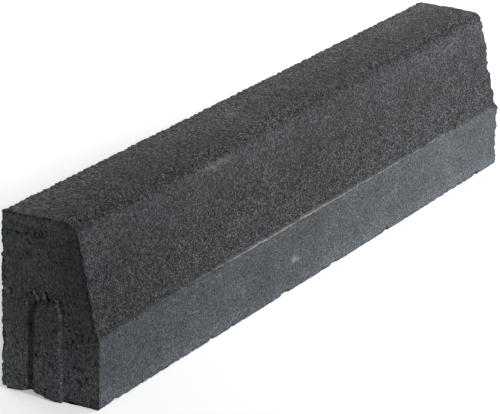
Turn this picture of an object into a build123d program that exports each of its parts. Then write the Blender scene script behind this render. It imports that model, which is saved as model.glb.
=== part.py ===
from build123d import *

import os
from math import radians, tan

# Concrete kerb stone, cast as one block. It lies along X with the road face towards -Y and the
# back face towards +Y. The bed is the plane Z = 0 and the origin is the middle of the bed.
# Sizes are in millimetres and angles in degrees.

# Block
laying_length = 1000.0  # from end face to end face, without the key
base_width = 120.0  # across the bed
height = 200.0
top_width = 90.0  # across the top, to the corner that the arris rounds off

# Road face: an upright band below, a narrow ledge, and a battered face that leans back above it
band_height = 82.0
ledge_depth = 4.0
ledge_fall = 1.0  # the ledge sheds water towards the road
band_edge_radius = 2.0
ledge_root_radius = 1.0
arris_radius = 16.0  # between the battered face and the top

# Other long edges
back_arris_radius = 2.0
heel_radius = 10.0  # between the bed and the back face
toe_chamfer = 2.0  # between the bed and the road face

# Key on the -X end: it stands on the line of the bed, widens downwards and is centred on the width
# of the block above the ledge
key_height = 110.0
key_foot_width = 38.0  # at the bed
key_crown_width = 33.0  # at the top, to the corners that the shoulders round off
key_shoulder_radius = 12.0
key_projection = 5.0
key_draft = 27.0  # lets the mould come away all round
key_nose_radius = 1.5

# Groove in the +X end, which takes the key of the next stone in the row
joint_clearance = 2.0  # round the key and beyond its nose

bed_overrun = 20.0  # how far the key is drawn below the bed before the bed cuts it off

road_side = -base_width / 2
back_side = base_width / 2
key_end = -laying_length / 2
groove_end = laying_length / 2
key_centre = (road_side + ledge_depth + back_side) / 2


def key_outline(plane, margin):
    """Upright outline of the key with rounded shoulders, widened all round by the margin."""
    flare = (key_foot_width - key_crown_width) / 2 / key_height
    crown_half = key_crown_width / 2
    foot_half = key_foot_width / 2 + flare * bed_overrun
    with BuildSketch(plane) as outline:
        with BuildLine():
            FilletPolyline(
                (-foot_half, -bed_overrun),
                (-crown_half, key_height),
                (crown_half, key_height),
                (foot_half, -bed_overrun),
                radius=key_shoulder_radius,
            )
            Line((foot_half, -bed_overrun), (-foot_half, -bed_overrun))
        make_face()
        if margin:
            offset(amount=margin, kind=Kind.INTERSECTION)
    return outline.sketch.face()


def drafted_key(end, clearance):
    """Key that stands out from the given end towards -X, cut level with the bed."""
    root_plane = Plane(origin=(end, key_centre, 0), x_dir=(0, -1, 0), z_dir=(-1, 0, 0))
    projection = key_projection + clearance
    root = key_outline(root_plane, clearance)
    nose = key_outline(root_plane.offset(projection), clearance - projection * tan(radians(key_draft)))
    with BuildPart() as key:
        loft(sections=[root, nose], ruled=True)
        split(bisect_by=Plane.XY, keep=Keep.TOP)
        nose_edges = key.faces().sort_by(Axis.X)[0].edges().sort_by(Axis.Z)
        fillet(nose_edges[1:], key_nose_radius)
    return key.part


key = drafted_key(key_end, 0)
groove = drafted_key(groove_end, joint_clearance)

with BuildPart() as kerb_stone:
    # Section, drawn from the heel up the back, over the top and down the road face to the toe
    with BuildSketch(Plane.YZ.offset(key_end)):
        with BuildLine():
            Polyline(
                (back_side, 0),
                (back_side, height),
                (back_side - top_width, height),
                (road_side + ledge_depth, band_height + ledge_fall),
                (road_side, band_height),
                (road_side, 0),
                close=True,
            )
        make_face()
    extrude(amount=laying_length)

    # Long edges: the arris and its opposite edge above, the ledge, then the heel and toe below
    long_edges = kerb_stone.edges().filter_by(Axis.X)
    top_edges = long_edges.group_by(Axis.Z)[-1].sort_by(Axis.Y)
    ledge_edges = (long_edges.group_by(Axis.Z)[1] + long_edges.group_by(Axis.Z)[2]).sort_by(Axis.Y)
    bed_edges = long_edges.group_by(Axis.Z)[0].sort_by(Axis.Y)
    fillet(top_edges[0], arris_radius)
    fillet(top_edges[-1], back_arris_radius)
    fillet(ledge_edges[0], band_edge_radius)
    fillet(ledge_edges[-1], ledge_root_radius)
    chamfer(bed_edges[0], toe_chamfer)
    fillet(bed_edges[-1], heel_radius)

    # Ends: the key stands out of one and the groove is sunk in the other
    add(key)
    add(groove, mode=Mode.SUBTRACT)

kerb_stone.part.label = "kerb_stone"

os.makedirs("parts", exist_ok=True)
export_step(kerb_stone.part, "parts/kerb_stone.step")
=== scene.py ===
from math import atan, atan2, cos, pi, radians, sin, sqrt, tan

import bmesh
import bpy
import numpy as np
from mathutils import Matrix, Vector, kdtree


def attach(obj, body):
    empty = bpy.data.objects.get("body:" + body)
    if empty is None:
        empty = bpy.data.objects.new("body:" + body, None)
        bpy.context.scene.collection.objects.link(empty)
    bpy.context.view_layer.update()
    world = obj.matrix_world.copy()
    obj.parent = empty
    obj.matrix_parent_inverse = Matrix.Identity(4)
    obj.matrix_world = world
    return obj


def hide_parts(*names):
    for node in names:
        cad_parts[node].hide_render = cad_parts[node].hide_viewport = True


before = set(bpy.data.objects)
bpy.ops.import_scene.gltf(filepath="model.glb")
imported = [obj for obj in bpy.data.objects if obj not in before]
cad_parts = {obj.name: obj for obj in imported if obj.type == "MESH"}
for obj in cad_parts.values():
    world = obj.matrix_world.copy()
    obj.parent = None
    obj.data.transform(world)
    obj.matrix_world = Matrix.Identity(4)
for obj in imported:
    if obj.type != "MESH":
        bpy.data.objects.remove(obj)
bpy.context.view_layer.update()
mm = 0.001

# Block, in millimetres, with the CAD part's sizes and frame
laying_length = 1000.0
base_width = 120.0
height = 200.0
top_width = 90.0
band_height = 82.0
ledge_depth = 4.0
ledge_fall = 1.0
band_edge_radius = 2.0
ledge_root_radius = 1.0
arris_radius = 16.0
back_arris_radius = 2.0
heel_radius = 10.0
toe_chamfer = 2.0
end_x = laying_length / 2
side_y = base_width / 2
key_centre = ledge_depth / 2
arris_y = side_y - top_width
root_y = ledge_depth - side_y
root_z = band_height + ledge_fall
batter_lean = atan2(arris_y - root_y, height - root_z)
ledge_slope = atan2(ledge_fall, ledge_depth)

# Key, and the groove that is the same shape with clearance round it
key_height = 110.0
key_foot_width = 38.0
key_crown_width = 33.0
key_shoulder_radius = 12.0
key_projection = 5.0
key_draft = radians(27)
key_nose_radius = 1.5
joint_clearance = 2.0
bed_overrun = 20.0

# Fine mesh: cuts from x to x in so many steps, closest at the end that the camera is near
stations = ((-500, -400, 62), (-400, -250, 79), (-250, 0, 109), (0, 250, 93), (250, 500, 81))
key_stations = (-503.8, -502.5, -501.2)
key_end_grid = 1.1
groove_end_grid = 4.0
bed_grid = 12.0
shortest_cut = 8.0
slack = 0.1

# Long faces: the lowest and highest y and z of the edges across them, and how many cuts those get
long_faces = (
    ((arris_y + 9, height - slack), (side_y + slack, height + slack), 33),
    ((root_y - slack, root_z), (arris_y, height - 1), 49),
    ((-side_y - slack, toe_chamfer - slack), (slack - side_y, band_height), 33),
    ((side_y - slack, heel_radius - slack), (side_y + slack, height), 17),
)

# Box round the groove, a little larger than the groove
groove_floor = end_x - key_projection - joint_clearance - slack
groove_reach = key_foot_width / 2 + joint_clearance + 2.5
groove_top = key_height + joint_clearance + 2

# Camera: a long lens from in front of the key end, a little above the stone
sensor_width = 36.0
lens = 227.36
bearing = radians(62.027)
pitch = radians(18.488)
roll = radians(1.39)
camera_place = Vector((-3106.4, -1615.4, 1241.1)) * mm

seed = 7
rng = np.random.default_rng(seed)


def pick(kind, test):
    """Selects the faces or edges that pass the test, and nothing else."""
    bpy.ops.mesh.select_mode(type=kind)
    bpy.ops.mesh.select_all(action="DESELECT")
    shape = bmesh.from_edit_mesh(bpy.context.object.data)
    for part in shape.faces if kind == "FACE" else shape.edges:
        if test(part):
            part.select_set(True)
    bmesh.update_edit_mesh(bpy.context.object.data)


def facing(x, y, z):
    return lambda face: face.normal.dot(Vector((x, y, z))) > 0.99


def on_line(y, z):
    """Edges that run along the stone at this y and z."""
    def test(edge):
        return all(abs(v.co.y / mm - y) < 0.01 and abs(v.co.z / mm - z) < 0.01 for v in edge.verts)
    return test


def start_cube(name, low, high):
    bpy.ops.object.select_all(action="DESELECT")
    low, high = Vector(low) * mm, Vector(high) * mm
    bpy.ops.mesh.primitive_cube_add(size=1, location=(low + high) / 2, scale=high - low)
    bpy.ops.object.transform_apply(location=True, rotation=True, scale=True)
    piece = bpy.context.object
    piece.name = piece.data.name = name
    bpy.ops.object.mode_set(mode="EDIT")
    return piece


def round_off(radius, turn, segments):
    """Rounds the picked edges, where two faces meet that turn by this angle."""
    reach = radius * tan(turn / 2) * mm
    bpy.ops.mesh.bevel(offset_type="OFFSET", offset=reach, segments=segments, profile=0.5)


def cut(axis, value):
    normal = [0, 0, 0]
    normal[axis] = 1
    bpy.ops.mesh.select_all(action="SELECT")
    place = [component * value * mm for component in normal]
    bpy.ops.mesh.bisect(plane_co=place, plane_no=normal, threshold=1e-6)


def model_block():
    """The block without its key: a low box drawn up into the ledge and then the battered part."""
    block = start_cube("kerb_stone_cast", (-end_x, -side_y, 0), (end_x, side_y, band_height))
    steps = ((ledge_fall, -side_y, ledge_depth), (height - root_z, root_y, arris_y - root_y))
    for rise, foot_y, shift in steps:
        pick("FACE", facing(0, 0, 1))
        bpy.ops.mesh.extrude_region_move(TRANSFORM_OT_translate={"value": (0, 0, rise * mm)})
        crown = max(v.co.z for v in bmesh.from_edit_mesh(block.data).verts) / mm
        pick("EDGE", on_line(foot_y, crown))
        bpy.ops.transform.translate(value=(0, shift * mm, 0))
    rounds = (
        (arris_y, height, arris_radius, pi / 2 - batter_lean, 12),
        (side_y, height, back_arris_radius, pi / 2, 2),
        (-side_y, band_height, band_edge_radius, pi / 2 - ledge_slope, 3),
        (root_y, root_z, ledge_root_radius, pi / 2 - ledge_slope - batter_lean, 2),
        (side_y, 0, heel_radius, pi / 2, 5),
        (-side_y, 0, toe_chamfer, pi / 2, 1),
    )
    for y, z, radius, turn, segments in rounds:
        pick("EDGE", on_line(y, z))
        round_off(radius, turn, segments)
    bpy.ops.mesh.select_all(action="SELECT")
    bpy.ops.mesh.dissolve_limited(angle_limit=radians(0.5))
    bpy.ops.object.mode_set(mode="OBJECT")
    return block


def model_key(name, root_x, clearance):
    """The key, or with clearance the plug that sinks the groove, drawn below the bed."""
    flare = (key_foot_width - key_crown_width) / 2 / key_height
    spread = clearance * sqrt(1 + flare * flare)
    foot_half = key_foot_width / 2 + flare * bed_overrun + spread
    crown = key_height + clearance
    crown_half = key_crown_width / 2 + spread - flare * clearance
    depth = key_projection + clearance
    low = (root_x, key_centre - foot_half, -bed_overrun)
    key = start_cube(name, low, (root_x + bed_overrun, key_centre + foot_half, crown))
    pick("FACE", facing(0, 0, 1))
    centre = (root_x * mm, key_centre * mm, crown * mm)
    bpy.ops.transform.resize(value=(1, crown_half / foot_half, 1), center_override=centre)
    shoulders = (key_centre - crown_half, key_centre + crown_half)
    pick("EDGE", lambda edge: any(on_line(y, crown)(edge) for y in shoulders))
    round_off(key_shoulder_radius + clearance, pi / 2 - atan(flare), 8)
    pick("FACE", facing(-1, 0, 0))
    bpy.ops.mesh.inset(thickness=depth * tan(key_draft) * mm, depth=depth * mm)
    pick("EDGE", lambda e: all(v.co.x < (root_x - depth + 0.01) * mm for v in e.verts))
    round_off(key_nose_radius, pi / 2 - key_draft, 3)
    bpy.ops.object.mode_set(mode="OBJECT")
    return key


def cut_at_bed(piece):
    bpy.ops.object.mode_set(mode="EDIT")
    bpy.ops.mesh.select_all(action="SELECT")
    bed = {"plane_co": (0, 0, 0), "plane_no": (0, 0, 1)}
    bpy.ops.mesh.bisect(**bed, clear_inner=True, use_fill=True, threshold=1e-6)
    bpy.ops.object.mode_set(mode="OBJECT")


def combine(block, tool, operation):
    joint = block.modifiers.new("joint", "BOOLEAN")
    joint.operation = operation
    joint.object = tool
    joint.solver = "EXACT"
    bpy.context.view_layer.objects.active = block
    bpy.ops.object.modifier_apply(modifier=joint.name)
    bpy.data.objects.remove(tool, do_unlink=True)


def cut_long_face(low, high, cuts):
    """Cuts a long face into strips: subdivides the edges that cross it, one at each station."""
    def test(edge):
        a, b = (v.co / mm for v in edge.verts)
        across = abs(a.x - b.x) < 0.001 and (a - b).length > shortest_cut
        return across and all(low[0] <= p.y <= high[0] and low[1] <= p.z <= high[1] for p in (a, b))
    pick("EDGE", test)
    bpy.ops.mesh.subdivide(number_cuts=cuts)


def cut_zone(test, y_step, z_step):
    """Cuts the faces of one zone with upright and level planes, and leaves the rest alone."""
    pick("FACE", test)
    bpy.ops.mesh.hide(unselected=True)
    if y_step:
        for y in np.arange(-side_y + y_step, side_y - 0.1, y_step):
            cut(1, y)
    if z_step:
        for z in np.arange(z_step, height - 0.1, z_step):
            cut(2, z)
    bpy.ops.mesh.reveal(select=False)


def in_key_end(face):
    return face.calc_center_median().x / mm < 0.01 - end_x


def in_bed(face):
    return face.normal.z < -0.99 and face.calc_center_median().z / mm < slack


def in_groove_end(face):
    x, y, z = face.calc_center_median() / mm
    in_groove = x > groove_floor and abs(y - key_centre) < groove_reach and slack < z < groove_top
    return x > end_x - 0.01 or in_groove


def refine(block):
    """Cuts the block as finely as its surface needs where the camera is near, and coarsely behind."""
    bpy.ops.object.select_all(action="DESELECT")
    block.select_set(True)
    bpy.context.view_layer.objects.active = block
    bpy.ops.object.mode_set(mode="EDIT")
    bpy.ops.mesh.select_mode(type="FACE")
    for near, far, count in stations:
        for step in range(count):
            cut(0, near + (far - near) * step / count)
    for x in key_stations:
        cut(0, x)
    for low, high, cuts in long_faces:
        cut_long_face(low, high, cuts)
    cut_zone(in_key_end, key_end_grid, key_end_grid)
    cut_zone(in_groove_end, groove_end_grid, groove_end_grid)
    cut_zone(in_bed, bed_grid, 0)
    bpy.ops.object.mode_set(mode="OBJECT")


def places_of(piece):
    points = np.empty(len(piece.data.vertices) * 3)
    piece.data.vertices.foreach_get("co", points)
    return points.reshape(-1, 3) / mm


def normals_of(piece):
    points = np.empty(len(piece.data.vertices) * 3)
    piece.data.vertices.foreach_get("normal", points)
    return points.reshape(-1, 3)


def ramp(value, start, end):
    t = np.clip((value - start) / (end - start), 0, 1)
    return t * t * (3 - 2 * t)


def window(value, low, high, soft):
    return ramp(value, low - soft, low) * (1 - ramp(value, high, high + soft))


def zone_weights(p):
    """How far each point belongs to each zone of the cast surface, 0 to 1."""
    x, y, z = p.T
    key_end = ramp(-x, end_x - 1, end_x - slack)
    in_box = (abs(y - key_centre) < groove_reach) * (z < groove_top) * (z > slack)
    in_groove = window(x, groove_floor, end_x + 1, slack) * in_box
    groove_end = np.maximum(ramp(x, end_x - 1, end_x - slack), in_groove)
    ends = np.maximum(key_end, groove_end)
    rest = 1 - ends
    back = ramp(y, side_y - 1, side_y - slack) * rest
    band = ramp(-y, side_y - 1.5, side_y - slack) * rest
    bed = (1 - ramp(z, slack, 1)) * rest * (1 - band)
    top = ramp(z, height - 4, height - 0.5) * rest * (1 - back)
    batter = np.clip(rest - back - band - bed - top, 0, 1) * (y < side_y / 3)
    zones = {"key_end": key_end, "groove_end": groove_end, "back": back, "band": band}
    zones.update({"bed": bed, "top": top, "batter": batter})
    return zones


def group(piece, name, weights):
    made = piece.vertex_groups.new(name=name)
    for level in range(1, 11):
        chosen = np.flatnonzero((weights > (level - 0.5) / 10) & (weights <= (level + 0.5) / 10))
        if len(chosen):
            made.add(chosen.tolist(), level / 10, "REPLACE")


def roughen(piece, name, weights, size, depth, detail=2):
    """Moves the surface, mostly inwards, with a cloudy pattern of this size and depth."""
    group(piece, name, weights)
    pattern = bpy.data.textures.new(name, "CLOUDS")
    pattern.noise_scale = size * mm
    pattern.noise_depth = detail
    pattern.noise_basis = "ORIGINAL_PERLIN"
    pattern.intensity = 1.0
    pattern.contrast = 1.6
    bpy.context.view_layer.objects.active = piece
    relief = piece.modifiers.new(name, "DISPLACE")
    relief.texture = pattern
    relief.texture_coords = "LOCAL"
    relief.direction = "NORMAL"
    relief.vertex_group = name
    relief.mid_level = 0.85
    relief.strength = depth * mm
    bpy.ops.object.modifier_apply(modifier=relief.name)


def give(piece, name, values):
    made = piece.data.attributes.new(name, "FLOAT", "POINT")
    made.data.foreach_set("value", np.asarray(values, dtype=np.float32))


class Surface:
    """The fine mesh as places that can be sunk or raised, with the smooth cast they came from."""

    hollow = 1  # -1 while crumbs are raised

    def __init__(self, piece, cast):
        self.piece = piece
        self.cast = cast
        self.normals = normals_of(piece)
        self.moved = places_of(piece)
        self.pitted = np.zeros(len(cast))
        # The boolean leaves the points in another order each run, so the draws follow their places
        self.order = np.lexsort(cast.T)
        self.tree = kdtree.KDTree(len(cast))
        for rank, index in enumerate(self.order):
            self.tree.insert(self.moved[index], rank)
        self.tree.balance()

    def near(self, centre, radius):
        """Each point within the radius, by its index, with its distance from the centre."""
        found = sorted((rank, distance) for place, rank, distance in self.tree.find_range(centre, radius))
        return [(self.order[rank], distance) for rank, distance in found]

    def sink(self, centre, radius, depth, direction=None, lumps=0.35):
        """A pit, deepest in its middle, with a lumpy floor. It is a crumb where the way is outwards."""
        for index, distance in self.near(centre, radius):
            inward = direction if direction is not None else -self.normals[index]
            fall = sqrt(max(0, 1 - (distance / radius) ** 2)) * (1 - lumps * rng.random())
            self.moved[index] += np.asarray(inward) * depth * fall
            self.pitted[index] += depth * fall * self.hollow

    def settle(self, box):
        self.moved = np.clip(self.moved, box[0], box[1])
        self.piece.data.vertices.foreach_set("co", (self.moved * mm).ravel())
        self.piece.data.update()


# Pits that the photograph shows on the key end, and then crumbs, painted pale where they catch the light:
# y, z, radius, depth or rise
end_pits = (
    (53.5, 179, 1.5, 2.4), (51, 179, 1.4, 2), (48, 179, 1.4, 2.2), (45, 179, 1.3, 1.6),
    (41.5, 178, 1.6, 2.8), (39, 178, 1.5, 2.2), (35.5, 178, 1.3, 1.8), (31, 179, 1.5, 2.6),
    (29, 178.5, 1.4, 2.4), (19.5, 179, 1.6, 2.8), (18.5, 182, 1.3, 2), (14.5, 181, 1.4, 2.4),
    (13.5, 179, 1.5, 2.6), (11.5, 183.5, 1.4, 2.2), (10, 182, 1.4, 2.6), (16, 176, 1.4, 2.4),
    (10, 177.5, 1.5, 2.6), (7, 185, 1.3, 1.8), (6, 180.5, 1.3, 2), (20.5, 175.5, 1.2, 1.8),
    (29, 158, 1.4, 2.6), (27, 157, 1.3, 2.2), (24.5, 156, 1.3, 2.2), (36, 150.5, 1.3, 2),
    (30.5, 152, 1.1, 1.4), (2.5, 158.5, 1.4, 2.4), (-12.5, 154.5, 1.3, 2.2), (-7, 153.5, 1.3, 2),
    (-2.5, 147, 1.2, 1.4), (-19, 148, 1.2, 1.6), (47.5, 114, 1.9, 3.4), (47.5, 110.5, 1.7, 3),
    (57.5, 112, 1.2, 2), (31.5, 103.5, 1.4, 2.2), (-18, 117.5, 1.3, 2), (-25.5, 102.5, 1.3, 2),
    (-16.5, 88.5, 1.5, 2.6), (-19.5, 85.5, 1.3, 2), (-23.5, 82, 1.5, 2.8), (-27, 71, 1.9, 3.4),
    (-36.5, 86.5, 1.4, 2.4), (-38.5, 73.5, 1.6, 2.8), (-21, 62.5, 1.6, 3), (-20.5, 68.5, 1.4, 2.4),
    (-31, 79.5, 1.4, 2.4), (-34, 77.5, 1.3, 1.8), (-24.5, 66.5, 1.3, 2), (-29, 85.5, 1.2, 1.6),
    (17.5, 47, 2.2, 3.8), (4, 51, 1.6, 2.6), (10, 74, 1.3, 1.6), (-28.5, 42, 1.5, 2.8),
    (-43.5, 33, 1.8, 3.4), (-34, 27.5, 1.7, 3.4), (-10, 21.5, 1.5, 2.8), (-14.5, 20.5, 1.4, 2.4),
    (21.5, 20.5, 1.6, 3), (-8.5, 10.5, 1.5, 2.4), (-50.5, 10.5, 1.6, 2.8), (-54, 52, 1.4, 2.4),
    (41.5, 75.5, 1.3, 1.6), (14.5, 11, 1.4, 2), (3.5, 31, 1.3, 1.8), (45, 22.5, 1.3, 1.6),
    (37.5, 11.5, 1.3, 1.8), (-22, 49.5, 1.2, 1.6), (-46, 63.5, 1.4, 2), (7, 3.5, 1.4, 2),
    (-3, 39, 1.2, 1.4),
)
end_specks = (
    (34.5, 180, 1.1, 1.4), (20.5, 180.5, 1, 1), (16.5, 178, 1.1, 1.2), (11, 179, 1, 1),
    (28, 154, 1, 0.8), (-10, 152, 1, 0.8), (55, 114, 1.8, 2), (52.5, 110.5, 1.8, 2),
    (55.5, 108, 1.5, 1.4), (29, 102.5, 1.1, 1), (-18.5, 88, 1, 1), (-22, 78.5, 1.2, 1.2),
    (-25, 72, 1.3, 1.6), (-25.5, 77, 1.1, 1.2), (-34, 67.5, 1.3, 1.4), (-19.5, 65.5, 1.1, 1),
    (8.5, 64.5, 1.2, 1), (7, 47, 1.1, 1), (-17.5, 26.5, 1, 0.8), (-0.5, 10.5, 1.2, 1),
    (-28, 75, 1.1, 1.4), (-22.5, 84.5, 1.1, 1.3), (-27.5, 68.5, 1.1, 1.3), (-31, 83, 1.1, 1.2),
    (-36, 75.5, 1.1, 1.2), (-22, 69, 1.1, 1.2),
    (17, 12.5, 1.1, 1), (-56, 29, 1, 0.6), (-39.5, 26.5, 1, 0.8),
)

# The key stands nearer than the end face, so a pit of the photograph lies this far along y and z
# from its place in the tables when it is on the key
nose_shift_y = -3
nose_shift_z = 2
nose_half_width = 14
nose_top = 103

# Where the band edge starts to run out near each end, and how far it has dropped at the end
ledge_ends = ((-455, -500, 5.5), (465, 500, 6.0))

# How high the bed is worn at the key end: y, height
heel_wear = ((-8, 0), (0, 1.4), (8, 3.4), (16, 5.4), (24, 5.6), (30, 3.8), (36, 2.4), (46, 1.7), (60, 1.1))

# Chips out of the toe: x, radius, depth
toe_chips = (
    (-465, 3.5, 2.2), (-412, 3.5, 1.8), (-211, 4.0, 3.0), (-92, 4.5, 2.8), (-85, 5.0, 3.2),
    (-78, 4.5, 2.6), (35, 4.5, 2.8), (42, 4.0, 2.4), (181, 4.5, 2.6), (387, 4.5, 2.2), (440, 5.0, 2.4),
)

# Torn concrete above the crown of the key: tears from y, z to y, z, with their radius and depth, then
# the crumbs between them: y, z, radius, rise
tears = (
    (19.5, 119, 13.5, 113.5, 1.4, 3.0), (24.5, 115.5, 22.5, 113, 1.3, 2.5), (6, 118, 3, 112, 1.8, 3.5),
    (4, 113, 2, 108.5, 2.0, 4.0), (19, 106, 17, 104.5, 1.4, 3.0), (12.5, 110.5, 11.5, 107.5, 1.2, 3.0),
    (7, 109.5, 7, 108.5, 1.2, 3.0), (11, 105.5, 8, 105, 1.2, 2.5), (28.5, 112.5, 28, 111.5, 1.2, 2.0),
    (-9, 113.5, -9, 112.5, 1.3, 1.6), (-11.5, 111, -12, 110, 1.4, 1.8), (-15, 103, -15, 102, 1.4, 1.8),
)
torn_crumbs = (
    (26, 117, 1.6, 1.6), (19.5, 118, 1.8, 2.0), (18, 115.5, 1.8, 2.0), (15.5, 113.5, 1.6, 1.8),
    (22, 111, 1.4, 1.2), (8, 116.5, 1.8, 1.8), (7.5, 113.5, 1.8, 2.0), (7.5, 110.5, 2.0, 2.4),
    (5, 108.5, 1.3, 1.4), (13, 103.5, 1.4, 1.4), (15, 110.5, 1.4, 1.2), (32, 106, 1.4, 1.2),
    (30, 103, 1.2, 0.8), (4, 121, 1.2, 1.0), (11, 119, 1.2, 1.0), (-18, 119.5, 1.1, 1.4),
    (-5, 115.5, 1.3, 1.0), (-6.5, 112, 1.8, 2.2), (-9, 111, 1.8, 2.2),
)
# Crumbs on the shoulder of the key that the light falls on: y, z, radius, rise
shoulder_crumbs = (
    (-9, 111, 2.4, 2.5), (-10, 108.5, 2.4, 2.5), (-7.5, 106, 2.0, 1.9), (-5.5, 104, 1.7, 1.5),
    (-12, 105, 2.2, 2.3), (-12.5, 101.5, 2.2, 2.5), (-14, 98.5, 2.0, 2.1), (-14.5, 95.5, 1.8, 1.7),
    (-15, 91, 1.7, 1.3), (-15, 23, 1.7, 1.5),
)


def on_key(y, z):
    return abs(y + nose_shift_y - key_centre) < nose_half_width and z < nose_top


def nose_place(y, z):
    return (-end_x - key_projection, y + nose_shift_y, z + nose_shift_z)


def pit_key_end(surface):
    for y, z, radius, depth in end_pits:
        surface.sink((-end_x, y, z), radius, depth, (1, 0, 0), 0.2)
        if on_key(y, z):
            surface.sink(nose_place(y, z), radius, depth, (1, 0, 0), 0.2)


def tear_above_key(surface):
    """Crumbly tears that run down to the right above the crown of the key."""
    for y0, z0, y1, z1, radius, depth in tears:
        for t in np.linspace(0, 1, 5):
            y = y0 + (y1 - y0) * t + rng.normal(0, 0.2)
            z = z0 + (z1 - z0) * t + rng.normal(0, 0.2)
            surface.sink((-end_x, y, z), radius, depth * (0.35 + 0.25 * rng.random()), (1, 0, 0), 0.2)


def raise_crumbs(surface):
    surface.hollow = -1
    for y, z, radius, rise in torn_crumbs + end_specks:
        surface.sink((-end_x, y, z), radius, rise, (-1, 0, 0), 0.3)
    for y, z, radius, rise in shoulder_crumbs:
        place, index, distance = surface.tree.find((-end_x - 0.5 * key_projection, y, z))
        surface.sink(place, radius, rise, (-0.8, -0.4, 0.4), 0.3)
    for y, z, radius, rise in end_specks:
        if on_key(y, z):
            surface.sink(nose_place(y, z), radius, rise, (-1, 0, 0), 0.3)
    surface.hollow = 1


def crumble_key_foot(surface):
    """The lowest 9 mm of the key are worn back by a few millimetres, most at its corners."""
    x, y, z = surface.cast.T
    foot = (x < -end_x - 0.5) * np.clip(1 - z / 9, 0, 1)
    corner = np.clip((abs(y - key_centre) - 12) / 5, 0, 1)
    crumbs = np.empty(len(x))
    crumbs[surface.order] = rng.random(len(x))
    surface.moved[:, 0] += foot * (2.0 + 1.2 * corner + crumbs)


def wear_heel(surface):
    """The bed is worn away at the key end, less and less over 50 mm along and 14 mm up."""
    x, y, z = surface.cast.T
    run = 1 - ramp(x, -end_x, -end_x + 50)
    surface.moved[:, 2] += table(heel_wear, y) * run * np.clip(1 - z / 14, 0, 1)


def chip_toe(surface):
    """Chips that run up and a little inwards from the toe."""
    for x, radius, depth in toe_chips:
        surface.sink((x, -side_y, 0.5), radius, depth, (0, 0.35, 0.94))


def scatter(surface, weights, count, radii, depths):
    """Seeded pits, or crumbs, their middles on points drawn by weight."""
    chances = weights[surface.order] / weights[surface.order].sum()
    for index in surface.order[rng.choice(len(chances), size=count, p=chances)]:
        radius = radii[0] + (radii[1] - radii[0]) * rng.random() ** 2
        depth = depths[0] + (depths[1] - depths[0]) * rng.random() ** 2
        surface.sink(surface.cast[index], radius, depth, -surface.hollow * surface.normals[index])


def lean_at(z):
    """Where the road face is at this height."""
    return np.interp(z, (0, band_height, root_z, height), (-side_y, -side_y, root_y, arris_y))


def edge_nearness(p, reach=4.0, toe_reach=5.0):
    """1 on the sharp edges, on the back arris alone, and on the toe alone, falling to 0 away from them."""
    x, y, z = p.T
    to_end = np.minimum(abs(x + end_x), abs(x - end_x))
    outline = np.minimum.reduce((abs(y - side_y), abs(z - height), abs(z), abs(y - lean_at(z))))
    ends = np.hypot(to_end, outline)
    back_arris = np.hypot(y - side_y, z - height)
    band_edge = np.hypot(y + side_y, z - band_height)
    toe = np.hypot(y + side_y, z)
    closest = np.minimum.reduce((ends, back_arris, band_edge, toe))
    distances = ((closest, reach), (back_arris, reach), (toe, toe_reach))
    return [np.clip(1 - distance / limit, 0, 1) for distance, limit in distances]


def worn_ledge(x, z):
    """How far the band has lost its top edge, in millimetres into the stone, near both ends."""
    push = np.zeros(len(x))
    for inner, outer, drop in ledge_ends:
        run = np.clip((x - inner) / (outer - inner), 0, 1)
        push += np.clip((z - band_height + drop * run) * 0.8, 0, ledge_depth) * (run > 0)
    return push


def wear_ledge_ends(surface):
    """The band edge runs out into a slope at both ends of the stone."""
    y = surface.moved[:, 1]
    push = worn_ledge(surface.cast[:, 0], surface.cast[:, 2])
    on_band = (surface.cast[:, 1] < root_y) & (surface.cast[:, 2] < root_z + 0.5)
    surface.moved[:, 1] = np.where(on_band, np.maximum(y, np.minimum(push - side_y, root_y)), y)


# Tone of the cast surface: how much lighter or darker it is than its zone, by place. Part of it is the
# concrete's own tone and part is painted light and shade
top_tone = (
    (-24, 0.78), (-20, 0.90), (-10, 0.99), (0, 1.07), (18, 1.20), (30, 1.40), (42, 1.50), (60, 1.48),
)
batter_tone = (
    (83, 0.97), (88, 0.98), (95, 0.91), (110, 0.89), (120, 0.88), (130, 0.85), (140, 0.91), (150, 0.98),
    (165, 1.01), (175, 1.09), (188, 1.09), (191.5, 0.87), (195, 0.82), (200, 0.80),
)
band_tone = (
    (0, 1.40), (8, 1.38), (14, 1.30), (22, 1.11), (35, 1.05), (52, 1.05), (62, 1.0), (70, 0.99),
    (75, 1.10), (78, 1.08), (81, 0.90),
)
# The key end darkens towards the battered edge, most above the key, and pales towards the bed. Low on the
# end, a painted shadow of the key lies in a strip beside its back flank, darkest from y 18.5 to 26
end_tone_high = ((-56, 0.60), (-25, 0.64), (0, 0.88), (30, 1.10), (60, 1.22))
end_tone_low_with_key_shadow = (
    (-60, 0.85), (-40, 0.88), (-25, 0.95), (-17, 0.98), (12, 0.96), (15.5, 0.98), (18.5, 0.54), (26, 0.46),
    (28.5, 1.1), (60, 1.24),
)
end_lift = ((0, 1.35), (35, 1.38), (60, 1.18), (80, 1.0), (110, 1.0), (130, 1.02), (180, 1.03), (190, 1.15))
# Along the stone the faces are a little paler towards the groove end: painted light, as if the light fell
# more strongly there
painted_light_along_length = ((-500, 0.93), (-250, 0.99), (0, 1.01), (500, 1.08))


def table(pairs, values):
    return np.interp(values, [a for a, b in pairs], [b for a, b in pairs])


def lit_flank(y, z):
    """1 on the flank of the key that faces the road, 0 beside it: there the tone paints a highlight, as
    that flank faces the light.
    """
    flare = (key_foot_width - key_crown_width) / 2 / key_height
    foot = key_centre - key_foot_width / 2 + flare * z
    return window(y - foot, 0.4, 2.0, 0.7) * (1 - ramp(z, 84, 104))


def battered_rim(y, z):
    """1 along the battered edge of the end, falling to 0 within 9 mm."""
    return ramp(lean_at(z) + 9 - y, 0, 9) * ramp(z, 70, 100)


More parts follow.
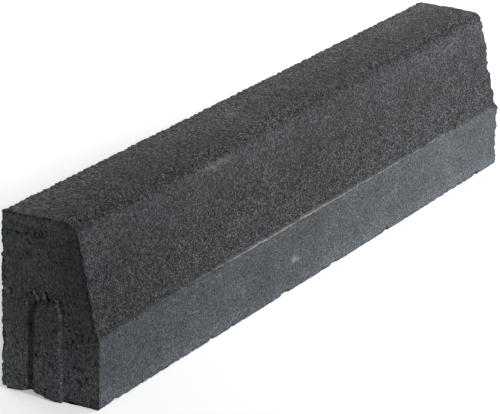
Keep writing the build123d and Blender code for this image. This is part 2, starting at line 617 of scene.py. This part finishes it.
# Tone of the key end, with the painted shadow beside the key and a painted highlight on its lit flank
def end_tone(y, z):
    high = ramp(z, 98, 128)
    across = table(end_tone_high, y) * high + table(end_tone_low_with_key_shadow, y) * (1 - high)
    return across * table(end_lift, z) * (1 - 0.28 * battered_rim(y, z)) * (1 + 0.18 * lit_flank(y, z))


# Patches that fade outwards: x, y, z, their reach along x, y and z, and how much they add to the tone
patches = (
    (-430, -60, 40, 60, 6, 60, -0.04), (-420, -50, 100, 70, 14, 24, -0.08),
    (-120, -48, 105, 90, 14, 24, 0.05), (360, -50, 100, 120, 14, 24, -0.02),
    (-500, -42, 16, 12, 20, 20, 0.05), (-500, -42, 70, 12, 16, 14, -0.03),
    (-52, 4, 200, 40, 16, 20, 0.10), (-132, 26, 200, 40, 20, 20, 0.08),
    (-65, -27, 200, 30, 8, 20, 0.12), (-205, -34, 185, 36, 8, 5, 0.20),
    (-140, -26, 197, 120, 6, 6, 0.10), (360, -27, 197, 170, 5, 5, -0.17),
    (400, 9, 200, 110, 16, 20, -0.12), (-75, 15, 200, 60, 60, 20, 0.14),
    (470, -14, 200, 40, 9, 20, 0.16), (-445, -19, 199, 70, 8, 8, -0.12),
    (320, -19, 199, 150, 7, 8, -0.09), (-419, 38, 200, 60, 20, 20, 0.05), (-193, -60, 37, 9, 6, 6, 0.12),
    (248, -60, 20, 4, 5, 4, -0.35),
)
# Warmer patches on the top, lime bloom and rust, listed alike, with how strong they are
warm_patches = (
    (63, 41, 200, 30, 14, 20, 0.3), (84, 7, 200, 26, 12, 20, 0.3), (475, -16, 200, 16, 14, 20, 0.35),
)
lime_spots = (
    (-66, -60, 37, 6, 5, 3.5, 0.55), (-57, -60, 35, 4, 5, 2.5, 0.25), (-187, -60, 36, 6, 5, 5, 0.2),
    (-205, -33, 185, 30, 5, 3, 0.25), (350, -60, 60, 1.6, 5, 7, 0.3), (199, -60, 49, 1.6, 5, 6, 0.25),
)
rust_spots = ((139, -58, 82.5, 4, 4, 1.8, 0.9), (222, -58, 82.5, 4, 4, 1.8, 0.8))
# How strong the lime line on the ledge is along the stone
lime_run = (
    (-500, 0.0), (-420, 0.05), (-300, 0.2), (-240, 0.4), (-180, 0.6), (-110, 0.8), (-40, 0.65), (80, 0.38),
    (280, 0.35), (400, 0.1), (500, 0.0),
)


def spots(p, listed):
    """How strong the listed patches are, all together, at each point."""
    total = np.zeros(len(p))
    for x, y, z, a, b, c, strength in listed:
        reach = ((p[:, 0] - x) / a) ** 2 + ((p[:, 1] - y) / b) ** 2 + ((p[:, 2] - z) / c) ** 2
        total += strength * np.exp(-reach)
    return total


def roughen_cast(piece, zones, open_grain, edges):
    """Waviness of the paste, grain that is open or pressed smooth, and edges that crumbled."""
    smooth = zones["band"] + zones["back"] + np.maximum(zones["key_end"], zones["groove_end"])
    roughen(piece, "paste_waviness", 1 - zones["bed"], 45, 0.5)
    roughen(piece, "coarse_grain", open_grain, 1.6, 0.55, 1)
    roughen(piece, "fine_grain", smooth * 0.9, 1.6, 0.4, 1)
    roughen(piece, "crumbled_edges", edges, 3, 1.2)


def scatter_pits(surface, zones, edges, back_arris, toe):
    """Small pits all over, and crumbs on the key end, that the photograph shows as a pattern."""
    x, y, z = surface.cast.T
    low_end = zones["key_end"] * (0.6 + 0.4 * (1 - ramp(z, 80, 130)))
    scatter(surface, low_end, 400, (1.1, 1.8), (0.5, 2.4))
    surface.hollow = -1
    scatter(surface, low_end, 110, (1.0, 1.3), (0.4, 1.5))
    surface.hollow = 1
    key_edges = (x < -end_x + 4) * edges
    batter_rim = (x < -end_x + 3) * (abs(y - lean_at(z)) < 3.5) * (z > 76)
    far_edges = edges ** 2 * (x > end_x - 4) * (y < 0) * (z > 14)
    scattered = (
        (key_edges * (z > 4) * (y < 55), 110, (1.2, 2.2), (0.5, 1.8)),
        (key_edges * (z > 4) * (z < 190) * (y > 57), 60, (1.2, 2.0), (0.6, 1.8)),
        (key_edges * (z < 3), 150, (1.4, 2.6), (0.8, 2.8)),
        (batter_rim, 130, (1.0, 1.9), (0.6, 2.0)),
        (zones["groove_end"], 60, (3, 6), (0.5, 1.6)),
        (zones["batter"], 700, (1.8, 3.4), (0.4, 1.4)),
        (zones["top"], 450, (1.8, 3.2), (0.3, 1.0)),
        (zones["band"], 220, (1.8, 3.2), (0.2, 0.8)),
        (zones["back"], 160, (3.5, 7.0), (0.5, 2.4)),
        (edges ** 2, 420, (1.6, 3.0), (0.4, 1.5)),
        (back_arris ** 2 * (x > -end_x + 8), 340, (1.8, 3.0), (0.8, 2.6)),
        (far_edges, 60, (2.6, 4.8), (2.5, 5.5)),
        (toe ** 2, 120, (2.0, 4.5), (0.5, 1.8)),
    )
    for weights, count, radii, depths in scattered:
        scatter(surface, weights, count, radii, depths)


def mark(surface, zones, open_grain):
    """Gives each point what the material reads there: its tone, zone, grain and stains, and the painted
    light and shade.
    """
    piece = surface.piece
    cast = surface.cast
    x, y, z = cast.T
    ends = np.maximum(zones["key_end"], zones["groove_end"])
    tone = (
        zones["top"] * table(top_tone, y) + zones["batter"] * table(batter_tone, z)
        + zones["band"] * table(band_tone, z) + zones["key_end"] * end_tone(y, z)
        + zones["groove_end"] + zones["back"] + zones["bed"]
    )
    total = sum(zones.values())
    tone = np.where(total > 0.05, tone / np.maximum(total, 0.05), 1.0)
    give(piece, "tone", tone * table(painted_light_along_length, x) + spots(cast, patches))
    worn = np.clip(worn_ledge(x, z) / 1.5, 0, 1)
    give(piece, "band", zones["band"] * (1 - worn))
    give(piece, "ends", ends)
    give(piece, "back", np.maximum(zones["back"], zones["bed"]))
    give(piece, "top", zones["top"])
    high_batter = zones["batter"] * ramp(z, 120, 165) * (1 - 0.6 * ramp(x, 0, 400))
    behind_arris = window(y, -31, -16, 3) * ramp(z, 188, 193) * (1 - ends)
    low_batter = zones["batter"] * (1 - ramp(z, 120, 165)) * ramp(x, 0, 400)
    sand = 0.50 + 0.52 * open_grain - 0.16 * high_batter + 0.16 * low_batter + 0.34 * behind_arris
    end_sand = 0.08 * (1 - ramp(z, 50, 110)) - 0.08 * ramp(y, 5, 25) * ramp(z, 50, 80) - 0.11
    give(piece, "sand", sand + end_sand * zones["key_end"])
    grit = (0.16 + 0.32 * open_grain) * (1 - 0.6 * zones["key_end"]) + 0.22 * behind_arris
    give(piece, "grit", grit)
    # Painted light: the key's lit flank and its raised crumbs get a bluish tint, as where the light falls
    # on them; the batter and band near the key end are a little bluer in colour
    lit = lit_flank(y, z) + np.clip(-surface.pitted, 0, 1)
    near_end = (0.06 * zones["batter"] + 0.10 * zones["band"]) * (1 - ramp(x, -450, -150))
    give(piece, "cool", 0.35 * np.clip(lit, 0, 1) * zones["key_end"] + near_end)
    warm = spots(cast, warm_patches) + 0.4 * battered_rim(y, z) * zones["key_end"]
    give(piece, "warm", np.clip(warm, 0, 1))
    give(piece, "rust", np.clip(spots(cast, rust_spots), 0, 1))
    give(piece, "lime", table(lime_run, x))
    give(piece, "bloom", np.clip(spots(cast, lime_spots), 0, 1))
    give(piece, "pitted", surface.pitted)


def finish_surface(piece):
    """Gives the smooth block the relief of the cast surface, never outside the block's own box."""
    cast = places_of(piece)
    zones = zone_weights(cast)
    edges, back_arris, toe = edge_nearness(cast)
    open_grain = zones["batter"] * (1 - 0.45 * ramp(cast[:, 2], 120, 165)) + 0.6 * zones["top"]
    roughen_cast(piece, zones, open_grain, edges)
    surface = Surface(piece, cast)
    pit_key_end(surface)
    tear_above_key(surface)
    raise_crumbs(surface)
    crumble_key_foot(surface)
    wear_heel(surface)
    chip_toe(surface)
    scatter_pits(surface, zones, edges, back_arris, toe)
    wear_ledge_ends(surface)
    surface.settle(((-end_x - key_projection, -side_y, 0), (end_x, side_y, height)))
    mark(surface, zones, open_grain)


# Pattern sizes of the concrete, in millimetres
sand_size = 0.95
grit_size = 1.9
pin_hole_size = 1.9
cloud_sizes = (26, 110)
bloom_size = 16
paste_size = 1.3
proud_grain_size = 1.2


def linear(colour):
    """An sRGB hex colour as linear red, green and blue."""
    parts = [int(colour[i:i + 2], 16) / 255 for i in (1, 3, 5)]
    return [part / 12.92 if part <= 0.04045 else ((part + 0.055) / 1.055) ** 2.4 for part in parts] + [1]


def add(tree, kind, inputs=None, **settings):
    """Adds a node with its settings and links, and returns its outputs.

    Each input is a value or another node's output.
    """
    made = tree.nodes.new("ShaderNode" + kind)
    for name, value in settings.items():
        setattr(made, name, value)
    for key, value in (inputs or {}).items():
        if isinstance(value, bpy.types.NodeSocket):
            tree.links.new(value, made.inputs[key])
        else:
            made.inputs[key].default_value = value
    return made.outputs


def dry_cast_concrete():
    """Anthracite concrete, pressed in a steel mould and let out while damp.

    The top and the battered face are open and grainy: dark paste with lighter sand grains
    standing in it and small dark voids between. The band and the ends slid along the mould,
    which closed them to a smoother, paler skin.
    """
    material = bpy.data.materials.new("anthracite_cast_concrete")
    material.use_nodes = True
    tree = material.node_tree
    shader = tree.nodes["Principled BSDF"]
    shader.inputs["Roughness"].default_value = 0.92
    shader.inputs["IOR"].default_value = 1.45
    shader.inputs["Specular IOR Level"].default_value = 0.3
    place = add(tree, "TexCoord")["Object"]
    names = "tone band ends back top warm cool sand grit pitted lime bloom rust"
    marks = {name: add(tree, "Attribute", attribute_name=name)["Fac"] for name in names.split()}

    # Colour of each zone, from that of the battered face
    colour = linear("#343538")
    tints = {"top": "#414244", "band": "#42464a", "ends": "#343637", "back": "#404346", "warm": "#4a4540"}
    # The bluish tint is painted light on the lit parts of the key end, and colour on the faces near that
    # end
    tints["cool"] = "#313a42"
    for name, tint in tints.items():
        colour = add(tree, "Mix", {0: marks[name], 6: colour, 7: linear(tint)}, data_type="RGBA")[2]

    # The ends were dragged along the mould as it lifted, which drew their grains out upwards
    drawn = add(tree, "VectorMath", {0: place, 1: (1, 1, 0.6)}, operation="MULTIPLY")[0]
    grain = add(tree, "Mix", {0: marks["ends"], 4: place, 5: drawn}, data_type="VECTOR")[1]

    # Sand and grit: each grain has its own tone, and few of them are bright. The real sand is finer
    # than this; it is drawn as coarse as it has to be to show
    speckle = 1.0
    for size, strength in ((sand_size, marks["sand"]), (grit_size, marks["grit"])):
        cells = add(tree, "TexVoronoi", {"Vector": grain, "Scale": 1 / (size * mm)})
        tone = add(tree, "SeparateColor", {0: cells["Color"]})[0]
        tone = add(tree, "Math", {0: tone, 1: 3.0}, operation="POWER")[0]
        tone = add(tree, "Math", {0: tone, 1: 3.5, 2: -0.875}, operation="MULTIPLY_ADD")[0]
        speckle = add(tree, "Math", {0: tone, 1: strength, 2: speckle}, operation="MULTIPLY_ADD")[0]
    # Pin holes, in about one cell of fourteen, and in more than twice as many on the ends
    holes = add(tree, "TexVoronoi", {"Vector": grain, "Scale": 1 / (pin_hole_size * mm)})
    hole = add(tree, "SeparateColor", {0: holes["Color"]})[1]
    chance = add(tree, "Math", {0: marks["ends"], 1: 0.10, 2: 0.07}, operation="MULTIPLY_ADD")[0]
    hole = add(tree, "Math", {0: hole, 1: chance}, operation="LESS_THAN")[0]
    hole = add(tree, "Math", {0: hole, 1: -0.5, 2: 1.0}, operation="MULTIPLY_ADD")[0]
    # Clouds where the paste lies thicker or thinner
    drift = 0.5
    for size in cloud_sizes:
        cloud = add(tree, "TexNoise", {"Vector": place, "Scale": 1 / (size * mm), "Detail": 3.0})["Fac"]
        drift = add(tree, "Math", {0: cloud, 1: 0.5, 2: drift}, operation="MULTIPLY_ADD")[0]
    # Voids hold shadow and dark paste, and crumbs that stand up catch the light
    void = add(tree, "Math", {0: marks["pitted"], 1: -0.32, 2: 1.02}, operation="MULTIPLY_ADD")[0]
    crumb = add(tree, "Math", {0: marks["pitted"], 1: -1.0, 2: 1.02}, operation="MULTIPLY_ADD")[0]
    relief = add(tree, "Math", {0: void, 1: crumb}, operation="MAXIMUM")[0]
    relief = add(tree, "Clamp", {0: relief, 1: 0.26, 2: 2.6})[0]
    level = speckle
    for factor in (hole, drift, relief, marks["tone"]):
        level = add(tree, "Math", {0: level, 1: factor}, operation="MULTIPLY")[0]
    level = add(tree, "Math", {0: level, 1: 0.08}, operation="MAXIMUM")[0]
    shade = add(tree, "VectorMath", {0: colour, "Scale": level}, operation="SCALE")[0]

    # Lime bloom: a thin pale line on the edge of the band, with a tan one above it in the ledge
    sides = add(tree, "SeparateXYZ", {0: place})
    front = add(tree, "MapRange", {0: sides["Y"], 1: -50 * mm, 2: -54 * mm})[0]
    broken = add(tree, "TexNoise", {"Vector": place, "Scale": 1 / (bloom_size * mm), "Detail": 4.0})["Fac"]
    broken = add(tree, "MapRange", {0: broken, 1: 0.30, 2: 0.60})[0]
    tan_line = add(tree, "Math", {0: marks["lime"], 1: 0.42, 2: 0.05}, operation="MULTIPLY_ADD")[0]
    # Each line: its lowest and highest place from the band's height, how softly it ends, its strength
    lines = ((-0.3, 0.8, 0.5, tan_line, "#858177"), (-1.3, -0.4, 0.4, marks["lime"], "#a09d96"))
    for low, high, soft, strength, tint in lines:
        low_z = (band_height + low) * mm
        high_z = (band_height + high) * mm
        rise = add(tree, "MapRange", {0: sides["Z"], 1: low_z - soft * mm, 2: low_z})[0]
        fall = add(tree, "MapRange", {0: sides["Z"], 1: high_z + soft * mm, 2: high_z})[0]
        line = strength
        for factor in (rise, fall, broken, front):
            line = add(tree, "Math", {0: line, 1: factor}, operation="MULTIPLY")[0]
        shade = add(tree, "Mix", {0: line, 6: shade, 7: linear(tint)}, data_type="RGBA")[2]
    for name, tint in (("bloom", "#a5a196"), ("rust", "#54422f")):
        spot = add(tree, "Math", {0: marks[name], 1: broken}, operation="MULTIPLY")[0]
        shade = add(tree, "Mix", {0: spot, 6: shade, 7: linear(tint)}, data_type="RGBA")[2]
    tree.links.new(shade, shader.inputs["Base Color"])

    # Grains stand proud of the paste
    fine = add(tree, "TexNoise", {"Vector": place, "Scale": 1 / (paste_size * mm), "Detail": 1.0})["Fac"]
    grains = add(tree, "TexVoronoi", {"Vector": place, "Scale": 1 / (proud_grain_size * mm)})
    height_map = add(tree, "Math", {0: grains["Distance"], 1: -0.8, 2: fine}, operation="MULTIPLY_ADD")[0]
    bump = add(tree, "Bump", {"Height": height_map, "Strength": 0.7, "Distance": 0.6 * mm})[0]
    tree.links.new(bump, shader.inputs["Normal"])
    return material


def place_camera():
    forward = Vector((sin(bearing) * cos(pitch), cos(bearing) * cos(pitch), -sin(pitch)))
    level = Vector((cos(bearing), -sin(bearing), 0))
    upright = level.cross(forward)
    right = level * cos(roll) + upright * sin(roll)
    up = upright * cos(roll) - level * sin(roll)
    data = bpy.data.cameras.new("camera")
    data.sensor_width = sensor_width
    data.lens = lens
    data.clip_end = 50
    camera = bpy.data.objects.new("camera", data)
    turn = Matrix((right, up, -forward)).transposed()
    camera.matrix_world = Matrix.Translation(camera_place) @ turn.to_4x4()
    bpy.context.scene.collection.objects.link(camera)
    bpy.context.scene.camera = camera


def hang_lamp(name, kind, place, aim=(0, 0, 0), **settings):
    """A lamp that shines from its place towards its aim, both in metres, out of the camera's sight."""
    data = bpy.data.lights.new(name, kind)
    for setting, value in settings.items():
        setattr(data, setting, value)
    lamp = bpy.data.objects.new(name, data)
    lamp.visible_camera = False
    lamp.location = Vector(place)
    lamp.rotation_euler = (Vector(place) - Vector(aim)).to_track_quat("Z", "Y").to_euler()
    bpy.context.scene.collection.objects.link(lamp)


def light_studio():
    """A soft lamp off the far end, a low sun from the camera's side, and a faint one from behind."""
    place, aim = (0.75, -0.85, 0.72), (0.25, 0, 0.1)
    hang_lamp("key light", "AREA", place, aim, shape="DISK", size=0.9, energy=13.0)
    hang_lamp("fill light", "SUN", (-0.39, -0.79, 0.47), energy=1.9, angle=radians(10))
    hang_lamp("back light", "SUN", (0.35, 0.80, 0.45), energy=0.8, angle=radians(30))
    world = bpy.data.worlds.new("studio")
    world.use_nodes = True
    world.node_tree.nodes["Background"].inputs["Color"].default_value = (1, 1, 1, 1)
    world.node_tree.nodes["Background"].inputs["Strength"].default_value = 0.20
    bpy.context.scene.world = world
    bpy.context.scene.view_settings.view_transform = "Standard"


def lay_floor():
    """A plain white board that glows faintly, so that it stays pale under soft light."""
    bpy.ops.object.select_all(action="DESELECT")
    bpy.ops.mesh.primitive_plane_add(size=40)
    floor = bpy.context.object
    floor.name = "floor"
    material = bpy.data.materials.new("white_board")
    material.use_nodes = True
    shader = material.node_tree.nodes["Principled BSDF"]
    shader.inputs["Base Color"].default_value = linear("#f4f4f4")
    shader.inputs["Roughness"].default_value = 0.9
    shader.inputs["Emission Color"].default_value = linear("#ffffff")
    shader.inputs["Emission Strength"].default_value = 0.36
    floor.data.materials.append(material)


block = model_block()
key = model_key("key", -end_x, 0)
cut_at_bed(key)
combine(block, key, "UNION")
combine(block, model_key("groove", end_x, joint_clearance), "DIFFERENCE")
refine(block)
finish_surface(block)
bpy.ops.object.select_all(action="DESELECT")
block.select_set(True)
bpy.context.view_layer.objects.active = block
bpy.ops.object.shade_smooth_by_angle(angle=radians(50))
block.data.materials.append(dry_cast_concrete())
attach(block, "root")
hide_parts("kerb_stone")

place_camera()
light_studio()
lay_floor()
